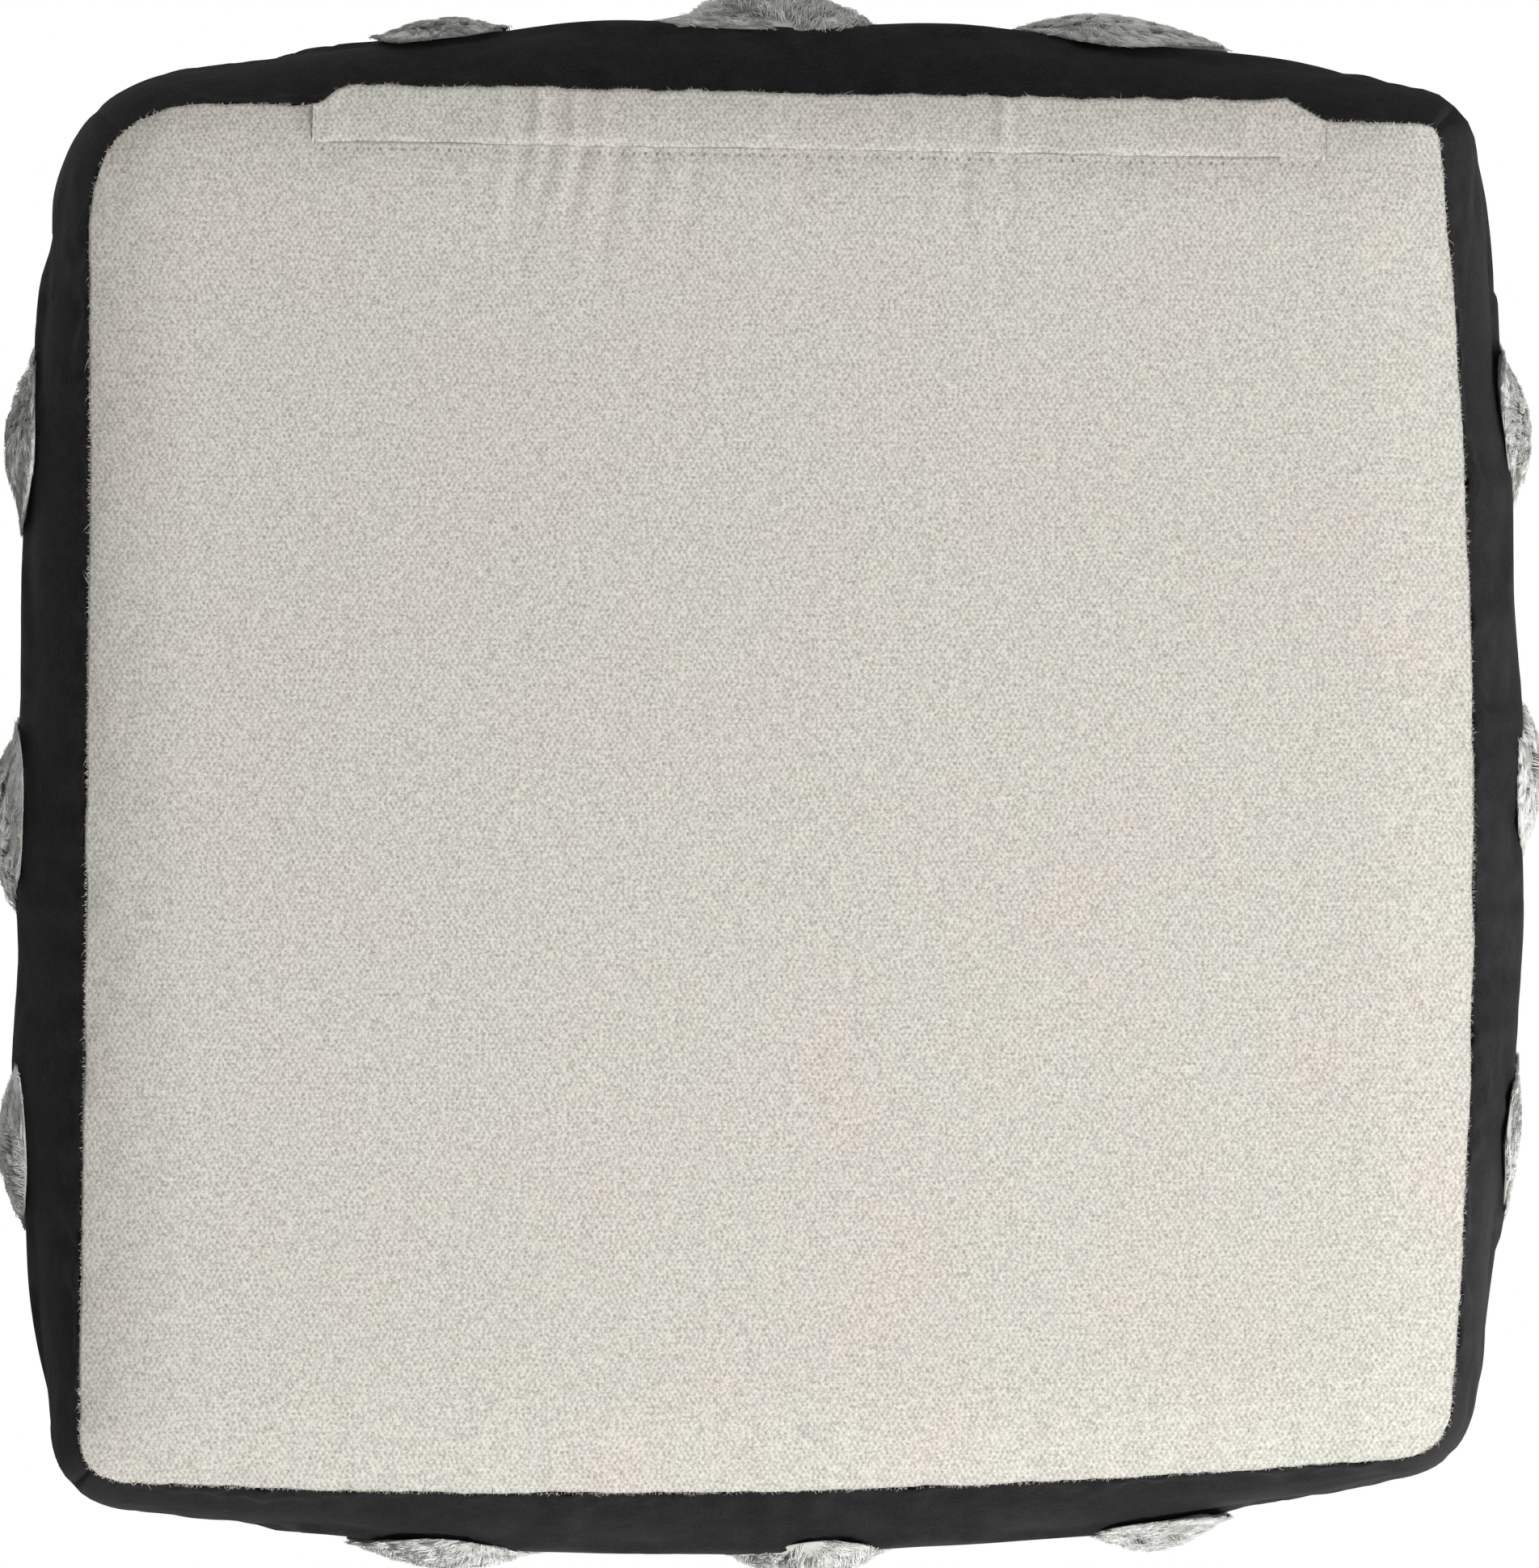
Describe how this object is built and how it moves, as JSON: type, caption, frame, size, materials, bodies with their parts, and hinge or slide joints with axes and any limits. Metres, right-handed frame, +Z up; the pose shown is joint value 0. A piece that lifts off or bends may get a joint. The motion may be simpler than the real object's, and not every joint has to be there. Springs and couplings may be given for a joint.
{
  "type": "floor cushion",
  "caption": "Square box floor cushion with a canvas underside, lapped zip placket, black wool sides and pile tufts.",
  "frame": {"origin": "on the floor under the middle of the cushion, base panel down", "axes": "+Z up through the seat side; +Y towards the back edge, which holds the zip; +X along the zip"},
  "size_m": [0.635, 0.6482, 0.181],
  "materials": {
    "canvas": "matte plain-weave cotton canvas",
    "wool": "matte felted wool",
    "tuft_pile": "matte short cut pile yarn",
    "sewing_thread": "matte spun thread",
    "zip_tape": "matte woven tape",
    "zip_coil": "satin moulded coil",
    "zip_metal": "satin plated die casting",
    "insert_casing": "matte thin cotton",
    "stuffing": "matte fibre fill"
  },
  "bodies": {
    "cushion": {"base_panel": "canvas", "top_panel": "wool", "gusset_back": "wool", "gusset_left": "wool", "gusset_front": "wool", "gusset_right": "wool", "side_tuft_back_1": "tuft_pile", "side_tuft_back_2": "tuft_pile", "side_tuft_back_3": "tuft_pile", "side_tuft_left_1": "tuft_pile", "side_tuft_left_2": "tuft_pile", "side_tuft_left_3": "tuft_pile", "side_tuft_front_1": "tuft_pile", "side_tuft_front_2": "tuft_pile", "side_tuft_front_3": "tuft_pile", "side_tuft_right_1": "tuft_pile", "side_tuft_right_2": "tuft_pile", "side_tuft_right_3": "tuft_pile", "top_tuft_1_1": "tuft_pile", "top_tuft_1_2": "tuft_pile", "top_tuft_1_3": "tuft_pile", "top_tuft_2_1": "tuft_pile", "top_tuft_2_2": "tuft_pile", "top_tuft_2_3": "tuft_pile", "top_tuft_3_1": "tuft_pile", "top_tuft_3_2": "tuft_pile", "top_tuft_3_3": "tuft_pile", "zip_flap_end_left": "canvas", "zip_flap_end_right": "canvas", "zip_tape_panel_side": "zip_tape", "zip_tape_gusset_side": "zip_tape", "zip_coil_panel_side": "zip_coil", "zip_coil_gusset_side": "zip_coil", "zip_stop_closed_end": "zip_metal", "zip_stop_open_end": "zip_metal", "flap_topstitching": "sewing_thread", "insert_bottom": "insert_casing", "insert_top": "insert_casing", "insert_gusset": "insert_casing", "insert_filling": "stuffing"},
    "flap": {"zip_flap": "canvas"},
    "slider": {"zip_slider": "zip_metal"},
    "pull_tab": {"zip_pull_tab": "zip_metal"}
  },
  "joints": [
    {"name": "flap_lift", "type": "hinge", "parent": "cushion", "child": "flap", "pos_m": [-0.0198, 0.2538, 0.0032], "axis": [-0.9998, -0.0175, 0], "range_deg": [0, 110], "stiffness_Nm_per_rad": 0.01, "springref_deg": -28.65},
    {"name": "zip_slide", "type": "slide", "parent": "cushion", "child": "slider", "axis": [-0.9998, -0.0175, 0], "range_m": [0, 0.32]},
    {"name": "pull_tab_swing", "type": "hinge", "parent": "slider", "child": "pull_tab", "pos_m": [0.14001, 0.26609, 0.0092], "axis": [0.0175, -0.9998, 0], "range_deg": [0, 180], "deforming": ["zip_flap", "zip_flap_end_left", "zip_flap_end_right"]}
  ]
}
